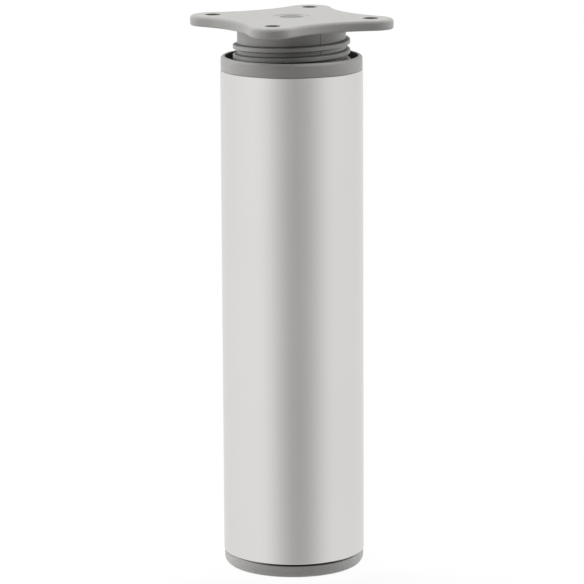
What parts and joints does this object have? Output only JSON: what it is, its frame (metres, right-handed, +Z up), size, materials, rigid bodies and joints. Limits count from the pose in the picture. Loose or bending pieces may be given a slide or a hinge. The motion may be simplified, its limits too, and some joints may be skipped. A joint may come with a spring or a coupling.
{
  "type": "furniture leg",
  "caption": "Round tubular furniture leg on a moulded foot, with a square mounting plate on a coarse threaded stem that screws in and out of a collar to set the height.",
  "frame": {"origin": "on the floor, at the middle of the foot's underside", "axes": "+Z up along the tube's axis, X and Y along the mounting plate's sides"},
  "size_m": [0.056, 0.056, 0.1965],
  "materials": {
    "foot_plastic": "fine matt moulded grey",
    "tube_metal": "satin silver",
    "collar_plastic": "fine matt moulded grey",
    "plate_plastic": "fine matt moulded grey"
  },
  "bodies": {
    "foot": {"foot_cap": "foot_plastic"},
    "leg": {"tube": "tube_metal", "threaded_collar": "collar_plastic"},
    "plate": {"mounting_plate": "plate_plastic"}
  },
  "joints": [
    {"name": "leg_turn", "type": "hinge", "parent": "foot", "child": "leg", "pos_m": [0, 0, 0], "axis": [0, 0, 1], "range_deg": [-1049.1, 1008]},
    {"name": "plate_lift", "type": "slide", "parent": "foot", "child": "plate", "axis": [0, 0, 1], "range_m": [-0.0098, 0.0102]}
  ],
  "couplings": [
    {"joint": "plate_lift", "follows": "leg_turn", "m_per_rad": -0.00055704}
  ]
}
